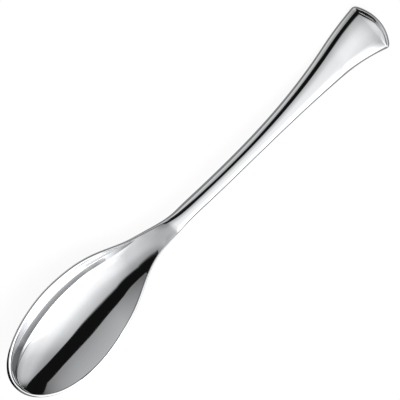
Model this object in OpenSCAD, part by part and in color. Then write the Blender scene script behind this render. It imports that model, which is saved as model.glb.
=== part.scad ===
// Tablespoon with a hollow bowl and a forged oval handle.
// The bowl's tang is brazed into a socket in the handle.
// Distances along the spoon are counted from the tip of the bowl, heights from the table that it rests on.

/* [Overall] */
// Length from the tip of the bowl to the end of the handle
spoon_length = 205; // [185:1:235]

/* [Bowl] */
// Width of the bowl at its widest, over the rim
bowl_width = 43; // [38:0.5:48]
// Distance from the tip to the widest place
bowl_front = 33; // [29:0.5:38]
// How full the front is: 1 is half an ellipse, less is blunter
front_power = 0.94; // [0.88:0.01:1]
// Length over which the bowl narrows from its widest place to the waist
bowl_taper = 62.5; // [57:0.5:70]
// How strongly the outline turns at the shoulder
shoulder_pull = 0.04; // [0:0.01:0.08]
// Depth of the hollow below the rim
bowl_depth = 9.5; // [7.5:0.25:11]
// Wall at the bottom of the bowl
bowl_wall = 1.5; // [1.2:0.1:2]
// How steep the hollow's wall is: 2 is a parabola, more is nearer to a U
hollow_power = 2.2; // [2:0.1:3]
// How fast the hollow deepens behind the tip: 2 is even, less is steeper
front_deep = 1.5; // [1.3:0.05:2]
// How long the hollow stays deep towards the neck
back_full = 0.8; // [0:0.05:1.2]
// Width of the rounding on the rim
rim_round = 0.7; // [0.5:0.05:1]
// Height of the rounding on the rim
rim_drop = 0.45; // [0.35:0.05:0.6]
// How far the rounding reaches over to the inside, in degrees
rim_lean = 50; // [30:1:60]

/* [Side view] */
// Rise of the rim from its lowest place to the tip
tip_rise = 10.8; // [7:0.1:13]
// How much the tip curls up: 0 is an S-curve, 1 is a parabola
tip_curl = 0.25; // [0:0.05:0.7]
// Distance from the widest place to the lowest place of the rim
low_back = 41; // [37:0.5:45]
// Length of the climb from there to the handle's arch
climb_run = 20; // [16:0.5:24]
// Distance from the lowest place of the rim to the crest of the arch
crest_back = 33; // [28:1:40]
// Fall from the crest to the place where the handle turns up
arch_fall = 6.6; // [4:0.1:8]
// Distance from that place to the end of the handle
turn_back = 24; // [18:0.5:30]
// Radius of the upturned end
turn_radius = 44; // [36:1:60]

/* [Neck] */
// Distance from the joint to the nose of the hollow
nose_gap = 7; // [5:0.5:10]
// Length over which the hollow runs out, up to its nose
nose_run = 18.5; // [14:0.5:22]
// Length over which the thin rim swells into the handle
swell_run = 18; // [14:0.5:22]
// Part of that length which lies on the handle
swell_past = 5; // [3:0.5:7]
// Length over which the underside becomes oval, to each side of the rim's lowest place
oval_reach = 10; // [6:0.5:14]

/* [Handle] */
// Width of the handle at its waist
waist_width = 7.7; // [6.5:0.1:9.5]
// Length of the waist before the handle widens
waist_run = 16; // [14:1:30]
// Width across the corners of the fan-shaped end
end_width = 25.8; // [18:0.2:30]
// How late the handle widens
flare_power = 2.77; // [2:0.01:3.5]
// Radius of the curved end
end_radius = 24; // [18:0.5:40]
// Softness of the two corners at the end
corner_soft = 2.4; // [1.5:0.1:3.5]
// Depth of the underside below the edge at the waist
waist_belly = 4; // [3.6:0.1:4.8]
// Depth of the underside below the edge at the end
end_belly = 2.7; // [2.4:0.1:3.2]
// Width of the rounding on the side of the waist
edge_round = 3.1; // [2.2:0.1:3.3]
// Height of the rounding on the side of the waist
edge_drop = 2.6; // [1.8:0.1:2.8]
// Width of the rounding round the end
end_round = 4; // [3:0.1:4.5]
// Height of the rounding round the end
end_drop = 2.5; // [1.6:0.1:2.6]
// Slope of the crowned top where it meets the rounding, in degrees
edge_slope = 25; // [15:1:32]

/* [Joint] */
// Length of the tang
tang_length = 12; // [8:0.5:13]
// Width of the tang
tang_width = 4; // [3:0.1:4.4]
// Thickness of the tang
tang_thickness = 1.8; // [1.2:0.1:2]
// Length of the tang's root inside the neck
tang_root = 4; // [2:0.5:6]
// Gap for the brazing filler on each side of the tang
braze_gap = 0.05; // [0.03:0.01:0.1]
// Gap beyond the end of the tang
socket_end_gap = 0.3; // [0.2:0.05:0.6]

/* [Seat] */
// Depth of the flat ground on the underside where the spoon rests
seat_flat = 0.12; // [0.05:0.01:0.25]

/* [Hidden] */

steel = "silver";

bowl_half = bowl_width / 2;
waist_half = waist_width / 2;
end_half = end_width / 2;
low_place = bowl_front + low_back;
crest_place = low_place + crest_back;
turn_place = spoon_length - turn_back;
arch_radius = pow(turn_place - crest_place, 2) / (2 * arch_fall);
joint_place = bowl_front + bowl_taper;
nose_stop = joint_place - nose_gap;
nose_start = nose_stop - nose_run;
swell_stop = joint_place + swell_past;
swell_start = swell_stop - swell_run;
flare_start = joint_place + waist_run;
flare_stop = spoon_length - end_radius + sqrt(end_radius * end_radius - end_half * end_half);

// The underside rests where the falling arch and the upturned end are level.
rest_place = (turn_place / turn_radius - crest_place / arch_radius) / (1 / turn_radius - 1 / arch_radius);

// Over this difference of depth the bowl's wall blends into the thick neck.
wall_blend = 2;
// Exponents of the crown and of the underside at the waist, and how much flatter both are at the end
waist_crown = 3;
waist_oval = 2;
flat_crown = 1;
flat_belly = 4.5;

// Numbers of steps along and round each piece
front_steps = 15;
taper_steps = 30;
bar_steps = 28;
end_steps = 17;
face_steps = 20;
edge_steps = 5;
// Half angle of the small flat that closes the tip and the end
closing_angle = 2.5;
// Part of the end's arc that is sampled closely, past the corner
end_angle = asin(end_half / end_radius) + 10;
// Step for finding the direction of an outline
direction_step = 0.001;

function clamp(t) = min(1, max(0, t));
function ease(t) = (1 - cos(180 * clamp(t))) / 2;
function mix(a, b, t) = a + (b - a) * t;
function ramp(s, from, to) = ease((s - from) / (to - from));
function soften(a, b, k) = pow(max(k - abs(a - b), 0), 2) / (4 * k);
function soft_min(a, b, k) = min(a, b) - soften(a, b, k);
function soft_max(a, b, k) = max(a, b) + soften(a, b, k);

// Outline of the bowl: half a full ellipse at the front, then an S-curve down to the waist.
function front_outline(u) =
    let (a = mix(closing_angle, 90, u))
    [bowl_front * (1 - cos(a)), bowl_half * pow(sin(a), front_power)];
function taper_outline(u) =
    let (v = u - shoulder_pull * sin(360 * u) * pow(sin(180 * u), 2))
    [bowl_front + bowl_taper * u, mix(bowl_half, waist_half, ease(v))];

// Outline of the handle: a parallel waist, a flare and a wide arc across the end.
function flare(s) = pow(max(0, s - flare_start) / (flare_stop - flare_start), flare_power);
function flare_half(s) = mix(waist_half, end_half, flare(s));
function arc_place(a) = spoon_length - end_radius * (1 - cos(a));
function bar_outline(u) =
    let (s = mix(joint_place, arc_place(end_angle), u))
    [s, flare_half(s)];
function end_outline(u) =
    let (a = mix(end_angle, closing_angle, u))
    [arc_place(a), soft_min(flare_half(arc_place(a)), end_radius * sin(a), corner_soft)];

// A station is a point of the outline and the direction in which the outline runs there.
function station(outline, u) =
    let (run = outline(u + direction_step) - outline(u - direction_step))
    [outline(u), run / norm(run)];
function stations(outline, first, steps) =
    [for (i = [first : steps]) station(outline, i / steps)];
function place(st) = st[0][0];
function half(st) = st[0][1];
function inset(st, d) = [place(st) + d * st[1][1], half(st) - d * st[1][0]];

bowl_stations = concat(
    stations(function (u) front_outline(u), 0, front_steps),
    stations(function (u) taper_outline(u), 1, taper_steps));
handle_stations = concat(
    stations(function (u) bar_outline(u), 0, bar_steps),
    stations(function (u) end_outline(u), 1, end_steps));

// Depth of the hollow and of the underside below the edge
function hollow_share(s, x) = s < bowl_front
    ? pow(x, front_deep)
    : x * x * (1 + back_full * x * (1 - x));
function hollow_depth(st) = bowl_depth * hollow_share(place(st), half(st) / bowl_half);
function neck_belly(s) = waist_belly * ramp(s, bowl_front, low_place);
function belly_depth(st) = place(st) < joint_place
    ? soft_max(hollow_depth(st) + bowl_wall, neck_belly(place(st)), wall_blend)
    : mix(waist_belly, end_belly, ramp(place(st), flare_start, rest_place));

// Height of the rim above its lowest place, from the tip to the neck
function rim_rise(s) =
    tip_rise * mix(1 - ramp(s, 0, low_place), pow(max(0, 1 - s / low_place), 2), tip_curl);

// The bowl stands on a small flat at its bottom, and so does the end of the handle.
low_height = -min([for (st = bowl_stations) rim_rise(place(st)) - belly_depth(st)]) - seat_flat;
rest_height = end_belly - seat_flat;

// Height of the handle's edge: an arch from the crest, with the end turned up
function arch(s) =
    pow(max(0, s - turn_place), 2) / (2 * turn_radius) - pow(s - crest_place, 2) / (2 * arch_radius);
function handle_height(s) = rest_height + arch(s) - arch(rest_place);
function edge_height(s) =
    mix(low_height + rim_rise(s), handle_height(s), ramp(s, low_place, low_place + climb_run));

// Section of the spoon: how it changes from the bowl's thin rim to the rounded handle
function swollen(s) = ramp(s, swell_start, swell_stop);
function oval(s) = ramp(s, low_place - oval_reach, low_place + oval_reach);
function crowned(s) = pow(clamp((s - nose_start) / nose_run), 2);
function rounding(s) = mix(mix(rim_round, edge_round, swollen(s)), end_round, flare(s));
function drop(s) = mix(mix(rim_drop, edge_drop, swollen(s)), end_drop, flare(s));
function crown_power(s) = mix(hollow_power, waist_crown, crowned(s)) + flat_crown * flare(s);
function belly_power(s) = mix(hollow_power, waist_oval, oval(s)) + flat_belly * flare(s);
function belly_root(s) = 1 / (1 + oval(s));
// The rim's rounding reaches over to the inside. On the handle it starts with the slope of the crowned top.
function lean(s) = mix(-rim_lean, atan(tan(edge_slope) * rounding(s) / drop(s)), crowned(s));
function crown(s, w) = w * tan(edge_slope) / crown_power(s);
function bulge(st, w) = mix(-hollow_depth(st), crown(place(st), w), crowned(place(st)));

function spot(s, y, z) = [spoon_length / 2 - s, y, z];

// Ring of points round the spoon at one station: over the top, down one side, under, and up the other side
function top_row(st) =
    let (s = place(st), e = inset(st, rounding(s) * (1 - sin(lean(s)))), b = bulge(st, e[1]))
    [for (j = [0 : face_steps])
        let (q = 1 - 2 * j / face_steps)
        spot(e[0], q * e[1], edge_height(e[0]) + b * (1 - pow(abs(q), crown_power(s))))];
function side_point(st, k, side) =
    let (s = place(st),
         a = mix(lean(s), 90, k / edge_steps),
         e = inset(st, rounding(s) * (1 - sin(a))))
    spot(e[0], side * e[1], edge_height(e[0]) - drop(s) * (cos(lean(s)) - cos(a)));
function under_row(st) =
    let (s = place(st),
         flank = drop(s) * cos(lean(s)),
         belly = belly_depth(st) - flank)
    [for (j = [1 : face_steps - 1])
        let (q = sin(mix(-90, 90, j / face_steps)),
             fall = pow(1 - pow(abs(q), belly_power(s)), belly_root(s)))
        spot(s, q * half(st), edge_height(s) - flank - belly * fall)];
function ring(st) = concat(
    top_row(st),
    [for (k = [1 : edge_steps]) side_point(st, k, -1)],
    under_row(st),
    [for (k = [edge_steps : -1 : 1]) side_point(st, k, 1)]);

// Faces that close a ring: one flat face at the joint, and strips from side to side round the tip and the end
ring_size = 2 * (face_steps + edge_steps);
side_start = face_steps;
under_start = face_steps + edge_steps;
flat_lid = [[for (j = [0 : ring_size - 1]) j]];
function mirrored(j) = (face_steps - j + ring_size) % ring_size;
round_lid = concat(
    [[for (j = [0 : side_start]) j]],
    [for (j = [side_start : under_start - 1]) [j, j + 1, mirrored(j + 1), mirrored(j)]],
    [[for (j = [under_start : under_start + face_steps]) j]]);

// Skin over a row of rings, closed by a lid at both ends
module loft(rings, first_lid, last_lid) {
    last = len(rings) - 1;
    points = [for (r = rings, p = r) p];
    walls = [for (i = [0 : last - 1], j = [0 : ring_size - 1])
        let (a = i * ring_size + j, b = i * ring_size + (j + 1) % ring_size)
        each [[a, b, b + ring_size], [a, b + ring_size, a + ring_size]]];
    first_faces = [for (f = first_lid) [for (k = [len(f) - 1 : -1 : 0]) f[k]]];
    last_faces = [for (f = last_lid) [for (v = f) v + last * ring_size]];
    polyhedron(points, concat(walls, first_faces, last_faces), convexity = 6);
}

// The table, which grinds the resting places flat
module table() {
    translate([0, 0, -spoon_length / 2])
        cube([2 * spoon_length, spoon_length, spoon_length], center = true);
}

// Flat bar along the waist of the handle, from its root inside the bowl's neck to its end
module tang_bar(reach, width, thickness) {
    far = joint_place + tang_length;
    climb = atan((edge_height(far) - edge_height(joint_place)) / tang_length);
    waist_top = crown(joint_place, waist_half - rounding(joint_place) * (1 - sin(lean(joint_place))));
    translate(spot(joint_place, 0, edge_height(joint_place) + (waist_top - waist_belly) / 2))
        rotate([0, climb, 0])
            translate([-reach, -width / 2, -thickness / 2])
                cube([tang_root + reach, width, thickness]);
}

module bowl() {
    color(steel)
        difference() {
            union() {
                loft([for (st = bowl_stations) ring(st)], round_lid, flat_lid);
                tang_bar(tang_length, tang_width, tang_thickness);
            }
            table();
        }
}

module handle() {
    color(steel)
        difference() {
            loft([for (st = handle_stations) ring(st)], flat_lid, round_lid);
            tang_bar(tang_length + socket_end_gap,
                tang_width + 2 * braze_gap, tang_thickness + 2 * braze_gap);
            table();
        }
}

bowl();
handle();
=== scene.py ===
# %% [markdown]
# # A mirror-polished tablespoon
# A tablespoon is one flowing form: a deep oval bowl, a slim waist and a handle that fans out to a curved
# end. Nothing on it is flat, so a polished spoon is really a picture of the room around it. The lesson
# therefore has two halves. First the form is worked out as smooth surfaces, and then a small studio is
# built for the steel to reflect.

# %% Packages and the fixed frame
import math

import bpy
import numpy as np
from mathutils import Matrix, Vector


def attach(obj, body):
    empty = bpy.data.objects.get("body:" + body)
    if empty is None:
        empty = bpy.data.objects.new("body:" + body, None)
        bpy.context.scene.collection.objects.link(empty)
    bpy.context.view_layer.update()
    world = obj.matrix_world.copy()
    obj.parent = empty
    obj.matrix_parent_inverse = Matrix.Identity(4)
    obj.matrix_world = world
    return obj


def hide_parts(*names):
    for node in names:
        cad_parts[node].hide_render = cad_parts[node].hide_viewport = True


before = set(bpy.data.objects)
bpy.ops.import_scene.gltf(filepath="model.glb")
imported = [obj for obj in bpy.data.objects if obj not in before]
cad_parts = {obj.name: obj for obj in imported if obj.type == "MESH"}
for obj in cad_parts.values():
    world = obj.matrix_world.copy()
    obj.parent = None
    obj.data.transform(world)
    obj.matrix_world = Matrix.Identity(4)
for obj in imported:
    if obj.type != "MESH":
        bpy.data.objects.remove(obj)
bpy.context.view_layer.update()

# %% [markdown]
# ## Small functions for smooth forms
# A spoon has no straight lines and no sudden bends. Each change of width, height or thickness is therefore
# an eased step, which leaves and arrives with no slope.

# %% Eased steps and soft joins
def ease(t):
    """Half a cosine wave: 0 before t = 0, 1 after t = 1, and level at both."""
    return (1 - np.cos(np.pi * np.clip(t, 0, 1))) / 2


def mix(a, b, t):
    """The value that lies the share t of the way from a to b."""
    return a + (b - a) * t


def ramp(s, start, stop):
    """An eased step along the spoon, from 0 at start to 1 at stop."""
    return ease((s - start) / (stop - start))


def soften(a, b, reach):
    """The small fillet between two curves: a parabola where they are closer than reach."""
    return np.clip(reach - np.abs(a - b), 0, None) ** 2 / (4 * reach)


print("an eased step in quarters:", ease(np.linspace(0, 1, 5)).round(2))

# %% [markdown]
# ## The outline seen from above
# The front of the bowl is half of a slightly full ellipse, and an S-curve leads from its widest place to
# the waist. The handle widens with a power of the distance, and a wide arc cuts it off, with a soft corner
# on each side. A hand-drawn curve would do too, but a formula gives as many points as the skin needs. Sizes
# are in millimetres, and places along the spoon are counted from the tip of the bowl. They are those of the
# solid model, so that the visible skin lies on the solids. Only the lip at the tip is a little fuller.

# %% Outline of the bowl
BOWL_HALF = 21.5         # half the bowl's width at its widest
BOWL_FRONT = 33.0        # from the tip to the widest place
FRONT_POWER = 0.94       # 1 is half an ellipse, less is blunter
BOWL_TAPER = 62.5        # from the widest place to the joint at the waist
SHOULDER_PULL = 0.04     # how strongly the outline turns at the shoulder
WAIST_HALF = 3.85
JOINT_PLACE = BOWL_FRONT + BOWL_TAPER


def bowl_outline(u):
    """Place and half width: an ellipse by its angle (u up to 1), then an eased S-curve (u from 1 to 2)."""
    angle = np.pi / 2 * np.clip(u, 0, 1)
    front = BOWL_FRONT * (1 - np.cos(angle)), BOWL_HALF * np.sin(angle) ** FRONT_POWER
    v = np.clip(u - 1, 0, 1)
    pulled = v - SHOULDER_PULL * np.sin(2 * np.pi * v) * np.sin(np.pi * v) ** 2
    taper = BOWL_FRONT + BOWL_TAPER * v, mix(BOWL_HALF, WAIST_HALF, ease(pulled))
    return np.where(u < 1, front, taper)


print("bowl:", 2 * BOWL_HALF, "mm wide, with the joint", JOINT_PLACE, "mm from the tip")

# %% Outline of the handle
SPOON_LENGTH = 205.0
FLARE_START = JOINT_PLACE + 16.0     # the handle stays slim up to here
FLARE_POWER = 2.77
END_HALF = 12.9
END_RADIUS = 24.0
CORNER_SOFT = 2.4
ARC_SPARE = math.radians(10)     # the end's arc is drawn this far past the corners
FLARE_STOP = SPOON_LENGTH - END_RADIUS + math.sqrt(END_RADIUS**2 - END_HALF**2)


def flare(s):
    """How far the handle has widened: a power of the distance from the waist, 1 at the corners."""
    return (np.clip(s - FLARE_START, 0, None) / (FLARE_STOP - FLARE_START)) ** FLARE_POWER


def handle_outline(u):
    """Place and half width: the flare (u up to 1), then the end's arc by its angle (u from 1 to 2)."""
    first_angle = math.asin(END_HALF / END_RADIUS) + ARC_SPARE
    arc_start = SPOON_LENGTH - END_RADIUS * (1 - math.cos(first_angle))
    angle = first_angle * np.clip(2 - u, 0, 1)
    place = np.where(u < 1, mix(JOINT_PLACE, arc_start, u), SPOON_LENGTH - END_RADIUS * (1 - np.cos(angle)))
    sides = mix(WAIST_HALF, END_HALF, flare(place))
    arc = END_RADIUS * np.sin(angle)
    corner = np.minimum(sides, arc) - soften(sides, arc, CORNER_SOFT)
    return np.stack([place, np.where(u < 1, sides, corner)])


print("handle:", 2 * WAIST_HALF, "mm wide at the waist and", 2 * END_HALF, "mm at the end")

# %% [markdown]
# ## The side view
# The rim dips from the raised tip to the neck and climbs to the handle, which is a long low arch with its
# end turned up. Everything else hangs from this edge line: the hollow, the crowned top and the belly
# underneath.

# %% Arch of the handle
CREST_PLACE = 107.0      # top of the handle's long arch
ARCH_FALL = 6.6          # from the crest to the place where the handle turns up
TURN_PLACE = 181.0
TURN_RADIUS = 44.0
ARCH_RADIUS = (TURN_PLACE - CREST_PLACE) ** 2 / (2 * ARCH_FALL)
# The underside rests where the falling arch and the upturned end are level.
REST_PLACE = (TURN_PLACE / TURN_RADIUS - CREST_PLACE / ARCH_RADIUS) / (1 / TURN_RADIUS - 1 / ARCH_RADIUS)


def arch(s):
    """The handle seen from the side: one parabola falls from the crest, and another turns the end up."""
    fall = (s - CREST_PLACE) ** 2 / (2 * ARCH_RADIUS)
    return np.clip(s - TURN_PLACE, 0, None) ** 2 / (2 * TURN_RADIUS) - fall


print(f"the handle rests {REST_PLACE:.1f} mm from the tip")

# %% Depth under the edge
BOWL_DEPTH = 9.5
BOWL_WALL = 1.5
FRONT_DEEP = 1.5         # 2 is an even slope up to the tip, less is steeper there
BACK_FULL = 0.8          # how long the hollow stays deep towards the neck
LOW_PLACE = 74.0         # lowest place of the rim
NECK_SOFT = 2.0          # fillet between the bowl's wall and the thick neck
WAIST_BELLY, END_BELLY = 4.0, 2.7


def hollow_depth(s, w):
    """The bowl is as deep as a power of its width, so it runs out to nothing at the tip and at the neck."""
    share = w / BOWL_HALF
    back = share**2 * (1 + BACK_FULL * share * (1 - share))
    return BOWL_DEPTH * np.where(s < BOWL_FRONT, share ** FRONT_DEEP, back)


def belly_depth(s, w):
    """Depth of the underside: the hollow and its wall, blended into the neck, then the handle's own depth."""
    wall = hollow_depth(s, w) + BOWL_WALL
    neck = WAIST_BELLY * ramp(s, BOWL_FRONT, LOW_PLACE)
    bowl = np.maximum(wall, neck) + soften(wall, neck, NECK_SOFT)
    return np.where(s < JOINT_PLACE, bowl, mix(WAIST_BELLY, END_BELLY, ramp(s, FLARE_START, REST_PLACE)))


print("depth of the hollow at its widest place:", float(hollow_depth(BOWL_FRONT, BOWL_HALF)), "mm")

# %% Edge line
TIP_RISE = 10.8          # the tip above the lowest place of the rim
TIP_CURL = 0.25          # 0 is an S-curve, 1 is a parabola
CLIMB_STOP = 94.0        # from the lowest place to here the neck climbs to the handle
SEAT_FLAT = 0.12         # ground off where the spoon rests
SAMPLES = 400            # places at which the bowl's lowest point is looked for


def rim_rise(s):
    """Height of the rim above its lowest place: a mixture of an eased step and a parabola, up to the tip."""
    return TIP_RISE * mix(1 - ramp(s, 0, LOW_PLACE), np.clip(1 - s / LOW_PLACE, 0, None) ** 2, TIP_CURL)


sample_s, sample_w = bowl_outline(np.linspace(0, 2, SAMPLES))
LOW_HEIGHT = -np.min(rim_rise(sample_s) - belly_depth(sample_s, sample_w)) - SEAT_FLAT
REST_HEIGHT = END_BELLY - SEAT_FLAT


def edge_height(s):
    """Height of the edge above the table: the rim, an eased climb along the neck, then the handle's arch."""
    handle = REST_HEIGHT + arch(s) - arch(REST_PLACE)
    return mix(LOW_HEIGHT + rim_rise(s), handle, ramp(s, LOW_PLACE, CLIMB_STOP))


places = {"tip": 0.0, "neck": LOW_PLACE, "crest": CREST_PLACE, "end": SPOON_LENGTH}
print("edge above the table:", {name: round(float(edge_height(s)), 1) for name, s in places.items()})

# %% [markdown]
# ## The section
# A cut across the spoon shows four runs: the top, a rounded side, the underside and the other rounded side.
# The top is a hollow in the bowl and a low crown on the handle. The side grows from the thin lip of the rim
# to the soft rounding of the forged handle. A skin over such cuts follows the real object closely, while a
# subdivided box would pull the rim out of shape.

# %% Rounded side
TIP_ROUND, TIP_DROP = 1.05, 0.8      # width and height of the rounded lip at the tip
RIM_ROUND, RIM_DROP = 0.7, 0.45      # of the bowl's rim
EDGE_ROUND, EDGE_DROP = 3.1, 2.6     # of the waist
END_ROUND, END_DROP = 4.0, 2.5       # and of the end
TIP_RUN = 14.0                       # the fuller lip thins out over this length
RIM_LEAN = math.radians(50)          # how far the rounding reaches over to the inside
TIP_LEAN = 0.35                      # the share of that at the tip
EDGE_SLOPE = math.radians(25)        # the crowned top meets the rounding with this slope
NOSE_START, NOSE_STOP = JOINT_PLACE - 25.5, JOINT_PLACE - 7.0      # the hollow runs out over these places
SWELL_START, SWELL_STOP = JOINT_PLACE - 13.0, JOINT_PLACE + 5.0    # the thin rim swells into the handle


def crowned(s):
    """Share of the crowned top: a parabola from 0 in the bowl to 1 where the hollow has run out."""
    return np.clip((s - NOSE_START) / (NOSE_STOP - NOSE_START), 0, 1) ** 2


def rounded_side(s):
    """Width, height and first angle of the side, blended from the tip to the rim, the waist and the end."""
    thin, swell = ramp(s, 0, TIP_RUN), ramp(s, SWELL_START, SWELL_STOP)
    width = mix(mix(mix(TIP_ROUND, RIM_ROUND, thin), EDGE_ROUND, swell), END_ROUND, flare(s))
    drop = mix(mix(mix(TIP_DROP, RIM_DROP, thin), EDGE_DROP, swell), END_DROP, flare(s))
    crown_angle = np.arctan(math.tan(EDGE_SLOPE) * width / drop)
    return width, drop, mix(-RIM_LEAN * mix(TIP_LEAN, 1, thin), crown_angle, crowned(s))


checked = np.array([0, BOWL_FRONT, JOINT_PLACE, SPOON_LENGTH])
print("rounding at the tip, the widest place, the joint and the end:", rounded_side(checked)[0].round(2))

# %% Top, side and underside
FACE_STEPS = 96
SIDE_STEPS = 14
EDGE_CROWDING = 0.7      # how much closer together the points are near the edges
HOLLOW_POWER = 2.2       # 2 is a parabola, more is nearer to a U
CROWN_POWER = 3.0
OVAL_POWER = 2.0
END_FLATNESS = 4.5       # how much flatter the underside is at the end
BELLY_START, BELLY_STOP = LOW_PLACE - 10.0, LOW_PLACE + 10.0       # the underside becomes oval


def top_run(s, w, run_s, run_w):
    """Across the top, short of the outline: the edge plus a bulge that falls with a power of the share."""
    width, _, lean = rounded_side(s)
    short = width * (1 - np.sin(lean))
    top_s, top_w = s + short * run_w, w - short * run_s
    power = mix(HOLLOW_POWER, CROWN_POWER, crowned(s)) + flare(s)
    bulge = mix(-hollow_depth(s, w), top_w * math.tan(EDGE_SLOPE) / power, crowned(s))
    t = np.linspace(1, -1, FACE_STEPS + 1)
    q = mix(t, np.sin(t * np.pi / 2), EDGE_CROWDING)
    return np.stack([top_s + 0 * q, top_w * q, edge_height(top_s) + bulge * (1 - np.abs(q) ** power)], -1)


def side_run(s, w, run_s, run_w):
    """Round the side: a quarter of an ellipse by its angle, entered with the slope of the top."""
    width, drop, lean = rounded_side(s)
    angle = mix(lean, np.pi / 2, np.linspace(0, 1, SIDE_STEPS + 1)[1:])
    inset = width * (1 - np.sin(angle))
    side_s, side_w = s + inset * run_w, w - inset * run_s
    return np.stack([side_s, -side_w, edge_height(side_s) - drop * (np.cos(lean) - np.cos(angle))], -1)


def under_run(s, w):
    """Across the underside: the bowl's own curve, an ellipse under the waist, and flatter under the end."""
    _, drop, lean = rounded_side(s)
    oval = ramp(s, BELLY_START, BELLY_STOP)
    flank = drop * np.cos(lean)
    q = np.sin(np.linspace(-np.pi / 2, np.pi / 2, FACE_STEPS + 1)[1:-1])
    power = mix(HOLLOW_POWER, OVAL_POWER, oval) + END_FLATNESS * flare(s)
    fall = (1 - np.abs(q) ** power) ** (1 / (1 + oval))
    return np.stack([s + 0 * q, w * q, edge_height(s) - flank - (belly_depth(s, w) - flank) * fall], -1)


print("points round one section:", 2 * FACE_STEPS + 2 * SIDE_STEPS)

# %% Rings round the spoon
BOWL_STEPS, HANDLE_STEPS = 260, 300
NUDGE = 1e-4             # a short way along the outline, to find its direction


def stations(outline, steps):
    """Points along an outline, each with the unit direction between two points close by."""
    u = np.linspace(0, 2, steps)
    run = outline(np.clip(u + NUDGE, 0, 2)) - outline(np.clip(u - NUDGE, 0, 2))
    return *outline(u), *(run / np.hypot(*run))


def rings(*station):
    """One ring of points (distance, across, height) for each station, cut off level with the table."""
    s, w, run_s, run_w = (row[:, None] for row in station)
    side = side_run(s, w, run_s, run_w)
    other_side = side[:, ::-1] * [1, -1, 1]
    ring = np.concatenate([top_run(s, w, run_s, run_w), side, under_run(s, w), other_side], axis=1)
    return np.maximum(ring, [-np.inf, -np.inf, 0])


bowl_rings = rings(*stations(bowl_outline, BOWL_STEPS))
handle_rings = rings(*stations(handle_outline, HANDLE_STEPS))
print("rings:", bowl_rings.shape, handle_rings.shape)

# %% [markdown]
# ## The hidden joint
# Inside the waist, a flat tang on the bowl sits in a socket in the handle. No one sees it, but it makes the
# two pieces separate solids that really fit together. Each is a ring of the skin drawn in to a small
# rectangle, which is then carried along the waist and shrunk to a point.

# %% Tang and socket
TANG_LENGTH, TANG_WIDTH, TANG_THICKNESS = 12.0, 4.0, 1.8
BRAZE_GAP = 0.05
SOCKET_END_GAP = 0.3


def bar_rings(joint_ring, length, width, thickness):
    """Rectangle at the joint, the same rectangle at the far end, and the far end's middle, as three rings."""
    far = JOINT_PLACE + TANG_LENGTH
    climb = (edge_height(far) - edge_height(JOINT_PLACE)) / TANG_LENGTH
    middle = (joint_ring.min(0) + joint_ring.max(0)) / 2
    across, up = (joint_ring - middle)[:, 1:].T
    reach = np.maximum(np.abs(across) / (width / 2), np.abs(up) / (thickness / 2))
    mouth = middle + (joint_ring - middle) / reach[:, None]
    far_end = mouth + np.array([length, 0, length * climb])
    return np.stack([mouth, far_end, np.broadcast_to(far_end.mean(0), far_end.shape)])


joint_ring = handle_rings[0]
tang = bar_rings(joint_ring, TANG_LENGTH, TANG_WIDTH, TANG_THICKNESS)
socket = bar_rings(joint_ring, TANG_LENGTH + SOCKET_END_GAP,
                   TANG_WIDTH + 2 * BRAZE_GAP, TANG_THICKNESS + 2 * BRAZE_GAP)
print("tang:", np.ptp(tang[0], axis=0).round(2), "in a socket of", np.ptp(socket[0], axis=0).round(2))

# %% [markdown]
# ## From rings to a closed skin
# The points are turned into the frame's own axes, with the tip towards +X, and neighbouring rings are
# joined by triangles. Points in the same place become one, so the tip, the end and the tang close by
# themselves. The volume of the skin comes out positive only if its faces point outwards, so it is printed
# as a check.

# %% Building the two pieces
MM = 0.001
WELD = 1e-6              # points that are closer than this become one
CREASE = math.radians(60)


def skin(name, stack):
    """Closed mesh over a stack of rings: each point is joined to the next point and to the next ring."""
    place, across, height = np.moveaxis(stack, -1, 0)
    points = np.stack([SPOON_LENGTH / 2 - place, across, height], -1).reshape(-1, 3) * MM
    _, first, index = np.unique(np.round(points / WELD), axis=0, return_index=True, return_inverse=True)
    points = points[first]

    grid = index.reshape(stack.shape[:2])
    a, b = grid[:-1], np.roll(grid, -1, axis=1)[:-1]
    c, d = np.roll(grid, -1, axis=1)[1:], grid[1:]
    faces = np.stack([np.stack([a, c, b], -1), np.stack([a, d, c], -1)]).reshape(-1, 3)
    whole = (faces != np.roll(faces, 1, axis=1)).all(axis=1)
    faces = faces[whole]

    mesh = bpy.data.meshes.new(name)
    mesh.from_pydata(points, [], faces)
    mesh.shade_smooth()
    mesh.set_sharp_from_angle(angle=CREASE)
    p, q, r = points[faces].transpose(1, 0, 2)
    volume = np.einsum("ij,ij->i", p, np.cross(q, r)).sum() / 6
    print(f"{name}: {len(points)} points, {len(faces)} triangles, {volume / MM**3:.0f} cubic millimetres")
    piece = bpy.data.objects.new(name, mesh)
    bpy.context.scene.collection.objects.link(piece)
    return piece


bowl = skin("bowl_skin", np.concatenate([bowl_rings, tang]))
handle = skin("handle_skin", np.concatenate([socket[::-1], handle_rings]))

# %% [markdown]
# ## Stainless steel, mirror-polished
# Cutlery is pressed or forged from stainless steel and then polished on cloth wheels until it is a mirror.
# The eye sees almost no colour of its own, only the room, very slightly dulled. The wheels leave faint
# marks along the spoon and a barely uneven gloss. Both are drawn a little coarser than real ones, so that
# they can show at all.

# %% Material helpers
def linear(hex_colour):
    """sRGB hex digits to a shader's linear colour: a short straight line, then a power of 2.4."""
    srgb = np.array([int(hex_colour[i:i + 2], 16) for i in (0, 2, 4)]) / 255
    return (*np.where(srgb <= 0.04045, srgb / 12.92, ((srgb + 0.055) / 1.055) ** 2.4), 1.0)


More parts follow.
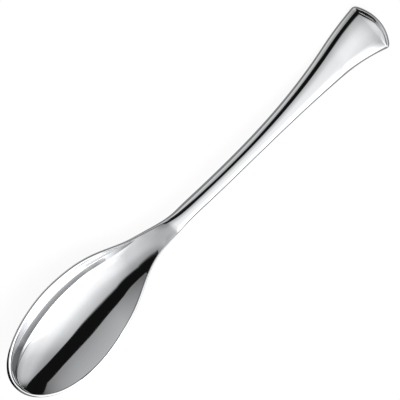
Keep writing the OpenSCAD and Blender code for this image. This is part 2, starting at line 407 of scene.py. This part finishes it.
def add(tree, kind, inputs, **settings):
    """Adds a node with its settings. Each input is given a value, or a link to another's output."""
    node = tree.nodes.new(kind)
    for name, value in settings.items():
        setattr(node, name, value)
    for socket_name, value in inputs.items():
        if isinstance(value, bpy.types.NodeSocket):
            tree.links.new(value, node.inputs[socket_name])
        else:
            node.inputs[socket_name].default_value = value
    return node


def new_material(name):
    """An empty material and its node tree."""
    material = bpy.data.materials.new(name)
    material.use_nodes = True
    material.node_tree.nodes.clear()
    return material, material.node_tree


print("middle grey as the shader takes it:", round(float(linear("808080")[0]), 3))

# %% Polished steel
MARK_LENGTH, MARK_GAP = 0.030, 0.0004    # marks of the polishing wheel, in metres
CLOUD_SIZE = 0.020                       # slow change of the gloss

steel, tree = new_material("polished_stainless_steel")
spot = add(tree, "ShaderNodeTexCoord", {}).outputs["Object"]
density = (1 / MARK_LENGTH, 1 / MARK_GAP, 1 / MARK_GAP)
brushed = add(tree, "ShaderNodeMapping", {"Vector": spot, "Scale": density})
marks = add(tree, "ShaderNodeTexNoise", {"Vector": brushed.outputs["Vector"], "Scale": 1.0, "Detail": 3.0})
gloss = add(tree, "ShaderNodeTexNoise", {"Vector": spot, "Scale": 1 / CLOUD_SIZE, "Detail": 2.0})

tone = add(tree, "ShaderNodeMix", {"Factor": marks.outputs["Fac"], 6: linear("CCCDCF"), 7: linear("D0D1D2")},
           data_type="RGBA")
blur = add(tree, "ShaderNodeMapRange", {"Value": gloss.outputs["Fac"], "From Min": 0.3, "From Max": 0.7,
                                        "To Min": 0.03, "To Max": 0.06})
relief = add(tree, "ShaderNodeBump", {"Height": marks.outputs["Fac"], "Strength": 0.03, "Distance": 0.00002})
surface = add(tree, "ShaderNodeBsdfPrincipled",
              {"Base Color": tone.outputs[2], "Metallic": 1.0, "Roughness": blur.outputs["Result"],
               "Normal": relief.outputs["Normal"]})
add(tree, "ShaderNodeOutputMaterial", {"Surface": surface.outputs["BSDF"]})
print("steel:", [node.name for node in tree.nodes])

# %% Steel on both pieces
for piece, node_name in ((bowl, "bowl"), (handle, "handle")):
    piece.data.materials.append(steel)
    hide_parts(node_name)
    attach(piece, "root")
    print(piece.name, "replaces", node_name)

# %% [markdown]
# ## The table
# The spoon lies on a plain white table. A matt white plane alone would come out grey in places, so the table
# glows white for the camera, and a share of ordinary matt white under that keeps the soft shadow. What the
# steel shows of the table is set later, by cards that carry painted shade.

# %% White table
TABLE_HALF = 4.0
TABLE_GAP = 0.00002     # just clear of the ground flats, so that the two surfaces don't flicker
GLOW_SHARE = 0.92

white, tree = new_material("matt_white_table")
path = add(tree, "ShaderNodeLightPath", {}).outputs
seen = add(tree, "ShaderNodeMath", {0: path["Is Camera Ray"], 1: path["Is Glossy Ray"]}, operation="MAXIMUM")
seen = add(tree, "ShaderNodeMath", {0: seen.outputs[0], 1: path["Is Transmission Ray"]}, operation="MAXIMUM")
part = add(tree, "ShaderNodeMath", {0: seen.outputs[0], 1: GLOW_SHARE}, operation="MULTIPLY")
matt = add(tree, "ShaderNodeBsdfDiffuse", {"Color": linear("F2F2F2")})
glow = add(tree, "ShaderNodeEmission", {"Color": linear("FFFFFF"), "Strength": 1.0})
both = add(tree, "ShaderNodeMixShader", {0: part.outputs[0], 1: matt.outputs[0], 2: glow.outputs[0]})
add(tree, "ShaderNodeOutputMaterial", {"Surface": both.outputs[0]})

corners = np.array([[-1, -1, 0], [1, -1, 0], [1, 1, 0], [-1, 1, 0]]) * TABLE_HALF - [0, 0, TABLE_GAP]
mesh = bpy.data.meshes.new("table")
mesh.from_pydata(corners, [], [[0, 1, 2, 3]])
table = bpy.data.objects.new("table", mesh)
table.data.materials.append(white)
bpy.context.scene.collection.objects.link(table)
print("table:", 2 * TABLE_HALF, "m square")

# %% [markdown]
# ## The studio that the steel reflects
# Polished cutlery is photographed in a dark room with one large soft box behind it and a grey card in
# front. The steel needs the dark gap between the two: it draws the black line that makes metal look like
# metal. All of this is painted on a dome. A direction is given by two angles in degrees: how far it leans
# from overhead towards the camera, and how far it turns along the spoon towards the tip. Each brightness is
# a short list of angles and levels, with straight lines between them.

# %% Soft box behind the spoon
# How the soft box fades along the spoon: the angle and the level
BOX_FADE = np.array([
    (-70, 0.003), (-65, 0.04), (-60, 0.15), (-55, 0.30), (-50, 0.40), (-45, 0.46), (-35, 0.50), (-30, 0.56),
    (-25, 0.74), (-20, 0.9), (-12, 1), (16, 1), (20, 0.97), (26, 0.93), (30, 0.85), (36, 0.75), (90, 0.65)])
# Towards the handle its front edge bends to the back, slowly at first.
BEND_START, BEND_LENGTH = -18, 22
BEND, BEND_POWER = 12, 1.6


def step(value, place, width):
    """An eased step from 0 to 1, with its middle at the place."""
    return ease((value - place) / width + 0.5)


def soft_box(lean, along):
    """Brightness of the soft box: levels by lean, times fades along the spoon, cut off at its front edge."""
    level = np.interp(lean, [-38, -30, -20, -10, 0], [1.72, 1.52, 1.16, 0.95, 0.78])
    fade = np.interp(along, *BOX_FADE.T)
    # Low at the back it is brighter straight behind, dimmer towards the handle, and it ends above the table.
    boost = np.interp(lean, [-50, -38], [1.2, 0]) * np.interp(along, [-22, -12, 6, 14], [0, 1, 1, 0])
    loss = np.interp(lean, [-88, -82, -78, -58], [0.75, 0.45, 0.38, 0]) * step(-along, 20, 8)
    foot = np.interp(lean, [-85, -77], [0.13, 1])
    # The front edge is nearly overhead, softer towards the tip and sharper towards the handle.
    edge = np.interp(along, [-12, 4, 14, 22, 27, 32], [0.6, 3.2, 3.2, 2.2, -0.8, -3.6])
    edge = edge - BEND * np.clip((BEND_START - along) / BEND_LENGTH, 0, None) ** BEND_POWER
    blur = np.interp(along, [-20, 0], [2, 8])
    return level * fade * (1 + boost) * (1 - loss) * foot * (1 - step(lean, edge, blur))


# %% Grey card in front, and the dark room
DARK_ROOM = 0.008
CARD_BLUR = 1            # degrees over which the card's edge fades


def grey_card(lean, along):
    """Brightness of the card: brighter towards the table, times a fade along the spoon, from its edge on."""
    level = np.interp(lean, [20, 30, 40, 55, 65, 80], [0.455, 0.49, 0.575, 0.685, 0.85, 1.0])
    fade = np.interp(along, [-64, -60, -50, -40, -25, 10, 20, 34, 90],
                     [0.02, 0.3, 0.56, 0.76, 0.94, 1, 0.87, 0.7, 0.65])
    edge = np.interp(along, [-60, -48, -31, -11, 14, 24, 33], [40, 25, 24.5, 28, 28.8, 27.7, 24])
    return level * fade * step(lean, edge, CARD_BLUR)


def dome_glow(lean, along):
    """The dark room, plus the soft box behind and the grey card in front."""
    return DARK_ROOM + soft_box(lean, along) + grey_card(lean, along)


print("brightness across the black gap:", dome_glow(np.linspace(0, 30, 7), 0.0).round(2))

# %% [markdown]
# ## Sheets that only reflections show
# The dome and all other things in the studio are sheets with a level stored at each point: how brightly
# cloth or card glows there, or how much light gauze lets through. A painted image would do too, but a few
# numbers at the right places are easier to change. The camera doesn't see the sheets, and they cast no
# shadow: only the steel shows them.

# %% Sheets and the dome
DOME_RADIUS = 2.0
DOME_LEANS, DOME_TURNS = 361, 181

cloth, tree = new_material("studio_cloth")
level = add(tree, "ShaderNodeAttribute", {}, attribute_name="glow")
glow = add(tree, "ShaderNodeEmission", {"Strength": level.outputs["Fac"]})
add(tree, "ShaderNodeOutputMaterial", {"Surface": glow.outputs[0]})


def studio_sheet(name, points, levels, material=cloth):
    """Sheet over a grid of points, each joined to its neighbours, with the level stored at each point."""
    index = np.arange(levels.size).reshape(levels.shape)
    faces = np.stack([index[:-1, :-1], index[:-1, 1:], index[1:, 1:], index[1:, :-1]], -1).reshape(-1, 4)
    mesh = bpy.data.meshes.new(name)
    mesh.from_pydata(points.reshape(-1, 3), [], faces)
    mesh.attributes.new("glow", "FLOAT", "POINT").data.foreach_set("value", levels.ravel())
    sheet = bpy.data.objects.new(name, mesh)
    sheet.data.materials.append(material)
    sheet.visible_camera = sheet.visible_shadow = sheet.visible_diffuse = False
    bpy.context.scene.collection.objects.link(sheet)
    print(f"{name}: {levels.size} points, levels {levels.min():.2f} to {levels.max():.2f}")


lean, along = np.meshgrid(np.linspace(-90, 90, DOME_LEANS), np.linspace(-90, 90, DOME_TURNS))
# The turn gives the direction's x, and the lean shares out the rest between y and z.
a, b = np.radians(lean), np.radians(along)
dome = DOME_RADIUS * np.stack([np.sin(b), -np.cos(b) * np.sin(a), np.cos(b) * np.cos(a)], -1)
studio_sheet("studio_dome", dome, dome_glow(lean, along))

# %% [markdown]
# ## Cards on the table
# The rounded rim and the sides of the handle reflect the table next to them. If they found only white
# there, the spoon would melt into the table. The grey cards in front and behind are painted shade: they stand
# in for the spoon's shadow on the table beside it, and only the steel sees them. With a black card at the tip
# they draw its outline. From here on, places are in millimetres from the middle of the spoon: x towards the
# tip, y to the back, z up.

# %% Cards on the table
CARD_HEIGHT = 0.05       # just clear of the table
CARD_REACH = 1500.0
TIP_CARD = 94.0          # the black card starts here, under the tip
TIP_CARD_BLUR, MIDDLE_BLUR = 2.0, 1.0
# The front and back greys are painted shade: the table's shadow beside the spoon, as the steel reflects it.
FRONT_SHADE_GREY, BACK_SHADE_GREY, TIP_BLACK = 0.34, 0.40, 0.01


def level_sheet(x, y, height):
    """Points of a level sheet, in metres: the places along and across, all at one height."""
    return np.stack([x, y, np.full(x.shape, height)], -1) * MM


x, y = np.meshgrid([-CARD_REACH, TIP_CARD - TIP_CARD_BLUR, TIP_CARD + TIP_CARD_BLUR, CARD_REACH],
                   [-CARD_REACH, -MIDDLE_BLUR, MIDDLE_BLUR, CARD_REACH])
# Grey in front and behind is painted shade standing in for the spoon's shadow on the table; black beyond the
# tip.
cards = np.where(x > TIP_CARD, TIP_BLACK, np.where(y < 0, FRONT_SHADE_GREY, BACK_SHADE_GREY))
studio_sheet("table_cards", level_sheet(x, y, CARD_HEIGHT), cards)

# %% [markdown]
# ## Gauze and tape close to the steel
# The dome is far away, so one place on it shows in several parts of the spoon at once. To change one part
# alone, a photographer hangs something close to it. Gauze lets a share of the light through, and black tape
# next to none. Such tones could be painted on the steel itself, but they would stay there when the spoon or
# the camera moves.

# %% Gauze
gauze, tree = new_material("grey_gauze")
share = add(tree, "ShaderNodeAttribute", {}, attribute_name="glow")
passed = add(tree, "ShaderNodeBsdfTransparent", {"Color": share.outputs["Color"]})
# What the gauze takes away is replaced by the dark of the room.
dark = add(tree, "ShaderNodeMath", {0: share.outputs["Fac"], 1: -DARK_ROOM, 2: DARK_ROOM},
           operation="MULTIPLY_ADD")
lint = add(tree, "ShaderNodeEmission", {"Strength": dark.outputs[0]})
both = add(tree, "ShaderNodeAddShader", {0: passed.outputs[0], 1: lint.outputs[0]})
add(tree, "ShaderNodeOutputMaterial", {"Surface": both.outputs[0]})
print("gauze:", [node.name for node in tree.nodes])

# %% [markdown]
# ## The long strip over the handle and the neck
# One strip of gauze reaches from past the handle's end to the middle of the bowl. Black tape on it draws
# the dark lines along the handle, round its end and at the root of the bowl. Behind the tape, the gauze
# dims the soft box, most of all over the neck and the handle's end. The strip is a grid: each column is a
# place along the spoon, chosen where the tape bends or the gauze changes, and the rows follow the edges of
# the tape.

# %% Places along the strip
TAPE, OPEN = 0.03, 1.0

# Place, front and back edge of the tape, then the light through the tape, the gauze and its far part
columns = [
    # Past the handle's end
    (-128.0, -30.0, 8.5, OPEN, 1.00, 1.00), (-127.0, -30.0, 8.5, TAPE, 0.45, 1.00),
    (-108.4, -30.0, 8.5, TAPE, 0.45, 1.00),
    # Over the handle's end
    (-107.6, -30.0, -12.0, OPEN, 0.82, 0.50), (-100.0, -30.0, -12.0, OPEN, 0.70, 0.43),
    (-93.5, -30.0, -12.0, OPEN, 0.58, 0.36), (-91.5, -30.0, -12.0, OPEN, 0.57, 0.35),
    (-89.8, -30.0, -12.0, OPEN, 0.75, 0.46), (-88.3, -19.0, -11.9, OPEN, 0.86, 0.53),
    # Along the handle
    (-76.5, -18.9, -9.0, TAPE, 0.86, 0.86), (-55.3, -17.1, -6.2, TAPE, 0.86, 0.86),
    (-34.6, -12.0, -5.0, TAPE, 0.86, 0.86), (-13.7, -10.4, -4.6, TAPE, 0.86, 0.86),
    (0.0, -12.5, -4.5, TAPE, 0.86, 0.86), (6.6, -18.0, -4.5, TAPE, 0.86, 0.86),
    (12.0, -23.0, -4.5, TAPE, 0.86, 0.86), (14.5, -25.0, -4.5, OPEN, 0.86, 0.86),
    # Over the neck
    (18.5, -30.0, -4.0, OPEN, 0.52, 0.52), (22.5, -30.0, -4.0, OPEN, 0.46, 0.44),
    (26.4, -30.0, -4.0, OPEN, 0.46, 0.38), (28.8, -30.0, -4.0, OPEN, 0.46, 0.44),
    # Over the root of the bowl
    (29.6, -1.5, 7.6, TAPE, 0.46, 0.46), (31.5, -1.5, 6.3, TAPE, 0.47, 0.47),
    (33.8, -1.5, 5.7, TAPE, 0.51, 0.51), (36.6, -1.5, 5.4, TAPE, 0.55, 0.55),
    (39.3, -1.5, 5.4, TAPE, 0.59, 0.59), (42.0, -1.5, 5.5, TAPE, 0.60, 0.60),
    # Over the bowl, where the gauze thins out
    (42.8, -30.0, -4.0, OPEN, 0.60, 0.60), (45.9, -30.0, -4.0, OPEN, 0.63, 0.63),
    (50.0, -30.0, -4.0, OPEN, 0.79, 0.79), (54.0, -30.0, -4.0, OPEN, 0.92, 0.92),
    (58.0, -30.0, -4.0, OPEN, 1.00, 1.00)]
x, front, back, tape, clear, far = np.array(columns).T
print("strip:", len(columns), "places from", x.min(), "to", x.max(), "mm")

# %% Rows across the strip
STRIP_HEIGHT = 20.0
STRIP_FRONT, STRIP_BACK = -60.0, 600.0
FRONT_BLUR, BACK_BLUR = 0.4, 0.6     # half the width over which each edge of the tape fades

# Over the neck the far part is only a narrow band. Over the handle it goes on to the back.
over_handle = x < 0
even_stop = np.where(over_handle, 10.0, 10.8)
far_start = np.where(over_handle, 22.0, 14.0)
far_stop = np.where(over_handle, 25.0, 20.0)
rest_start = np.where(over_handle, 30.0, 26.0)
rest = np.where(over_handle, far, clear)

one = np.ones(x.shape)
y = np.stack([STRIP_FRONT * one, front - FRONT_BLUR, front + FRONT_BLUR, back - BACK_BLUR, back + BACK_BLUR,
              even_stop, far_start, far_stop, rest_start, STRIP_BACK * one])
through = np.stack([one, one, tape, tape, clear, clear, far, far, rest, rest])
studio_sheet("gauze_strip", level_sheet(np.broadcast_to(x, y.shape), y, STRIP_HEIGHT), through, gauze)

# %% [markdown]
# ## Strips over the far rim
# The bowl's near wall shows a soft grey stripe, which is a second reflection. Two narrow pieces of gauze
# over the far rim darken it, one along the bowl and one near the tip, and a white strip keeps the wall
# bright on both its sides. They lie a little lower than the long strip, so that sheets that overlap never
# share a height: there the picture would be full of specks.

# %% Strips over the far rim
LOW_STRIP = 19.9
TIP_STRIP = 18.0
WHITE_BACK = 24.5        # back edge of the white strip


def gauze_patch(name, along, across, height, clear):
    """Level gauze with soft edges: covers from 0 to 1 along and across, and their product dims the light."""
    (x, cover_x), (y, cover_y) = np.array(along).T, np.array(across).T
    x, y = np.meshgrid(x, y)
    studio_sheet(name, level_sheet(x, y, height), mix(1, clear, np.outer(cover_y, cover_x)), gauze)


gauze_patch("gauze_behind", [(57.3, 1), (72.5, 1), (76.0, 0)],
            [(18.6, 0), (19.3, 1), (22.8, 1)], height=LOW_STRIP, clear=0.63)
gauze_patch("gauze_at_tip", [(75.2, 0), (76.6, 1), (81.2, 1), (82.4, 0)],
            [(16.8, 0), (17.5, 1), (22.2, 1)], height=TIP_STRIP, clear=0.40)

# Place, front edge and brightness of the white strip
x, front, bright = np.array([(47.5, 19.6, 1.0), (53.0, 19.6, 1.55), (56.3, 19.6, 2.3),
                             (57.3, 22.8, 3.8), (67.0, 22.8, 3.8), (74.5, 22.8, 1.15)]).T
y = np.stack([front, np.full(front.shape, WHITE_BACK)])
x, bright = np.broadcast_to(x, y.shape), np.broadcast_to(bright, y.shape)
studio_sheet("white_strip", level_sheet(x, y, LOW_STRIP), bright)

# %% [markdown]
# ## A card and a flag past the ends
# The turned-up end of the handle and the lip at the tip look outwards, past the spoon. A white card beyond
# the end bounds the black line there. A small upright flag beyond the tip, black in front and grey behind,
# gives the lip its dark outline.

# %% Card past the handle's end, and flag past the tip
END_CARD_GLOW = 0.92
FLAG_PLACE = 106.5
FLAG_CHANGE, FLAG_BLUR = 5.0, 2.0    # where the flag turns from black to grey
FLAG_BLACK, FLAG_GREY = 0.01, 0.3

x, y = np.meshgrid([-160.0, -128.2], [-30.0, 60.0])
studio_sheet("end_card", level_sheet(x, y, LOW_STRIP), np.full(x.shape, END_CARD_GLOW))

y, z = np.meshgrid([-28.0, FLAG_CHANGE - FLAG_BLUR, FLAG_CHANGE + FLAG_BLUR, 26.0], [15.5, 46.0])
flag = np.stack([np.full(y.shape, FLAG_PLACE), y, z], -1) * MM
studio_sheet("tip_flag", flag, np.where(y < FLAG_CHANGE, FLAG_BLACK, FLAG_GREY))

# %% [markdown]
# ## Plain light
# The world is plain white and lights everything evenly. One broad lamp overhead adds a soft shadow on the
# table, and it is kept out of the reflections.

# %% World and lamp
LAMP_PLACE = (0.05, 0.25, 0.9)
LAMP_SIZE, LAMP_POWER = 0.8, 4.0

world = bpy.data.worlds.new("white_room")
world.use_nodes = True
world.node_tree.nodes["Background"].inputs["Color"].default_value = linear("FFFFFF")
world.node_tree.nodes["Background"].inputs["Strength"].default_value = 1.0
bpy.context.scene.world = world

lamp_data = bpy.data.lights.new("broad_lamp", "AREA")
lamp_data.shape = "DISK"
lamp_data.size = LAMP_SIZE
lamp_data.energy = LAMP_POWER
lamp = bpy.data.objects.new("broad_lamp", lamp_data)
lamp.location = LAMP_PLACE
lamp.rotation_euler = (-Vector(LAMP_PLACE)).to_track_quat("-Z", "Y").to_euler()
lamp.visible_glossy = False
bpy.context.scene.collection.objects.link(lamp)
print("lamp:", LAMP_SIZE, "m across,", LAMP_POWER, "W")

# %% [markdown]
# ## The camera
# The picture is taken from above the near side with a long lens, so the handle runs up to the right and
# hardly shrinks. The camera's own axes are built from three angles: round the spoon, above the table, and
# the turn of the picture. The scale of the picture then gives the distance for the chosen lens.

# %% Camera
AZIMUTH, ELEVATION = math.radians(-3.35), math.radians(57.06)
PICTURE_TURN = math.radians(139.551)  # from the tip on the right to the tip at the lower left
PICTURE_WIDTH = 0.160131              # metres across the picture, at the table
CENTRE = (0.004173, 0.002375)         # middle of the picture, right and down of the origin
LENS, SENSOR = 240.0, 36.0

reach, rise = math.cos(ELEVATION), math.sin(ELEVATION)
back = Vector((math.sin(AZIMUTH) * reach, -math.cos(AZIMUTH) * reach, rise))
right = Vector((0, 0, 1)).cross(back).normalized()
up = back.cross(right)
turn = Matrix.Rotation(PICTURE_TURN, 3, back)
right, up = turn @ right, turn @ up
distance = PICTURE_WIDTH * LENS / SENSOR

camera_data = bpy.data.cameras.new("camera")
camera_data.lens, camera_data.sensor_width = LENS, SENSOR
camera = bpy.data.objects.new("camera", camera_data)
pose = Matrix((right, up, back)).transposed().to_4x4()
pose.translation = right * CENTRE[0] - up * CENTRE[1] + back * distance
camera.matrix_world = pose
bpy.context.scene.collection.objects.link(camera)
bpy.context.scene.camera = camera
bpy.context.scene.view_settings.view_transform = "Standard"
print(f"camera at {distance:.2f} m, axes right {tuple(round(v, 3) for v in right)}")
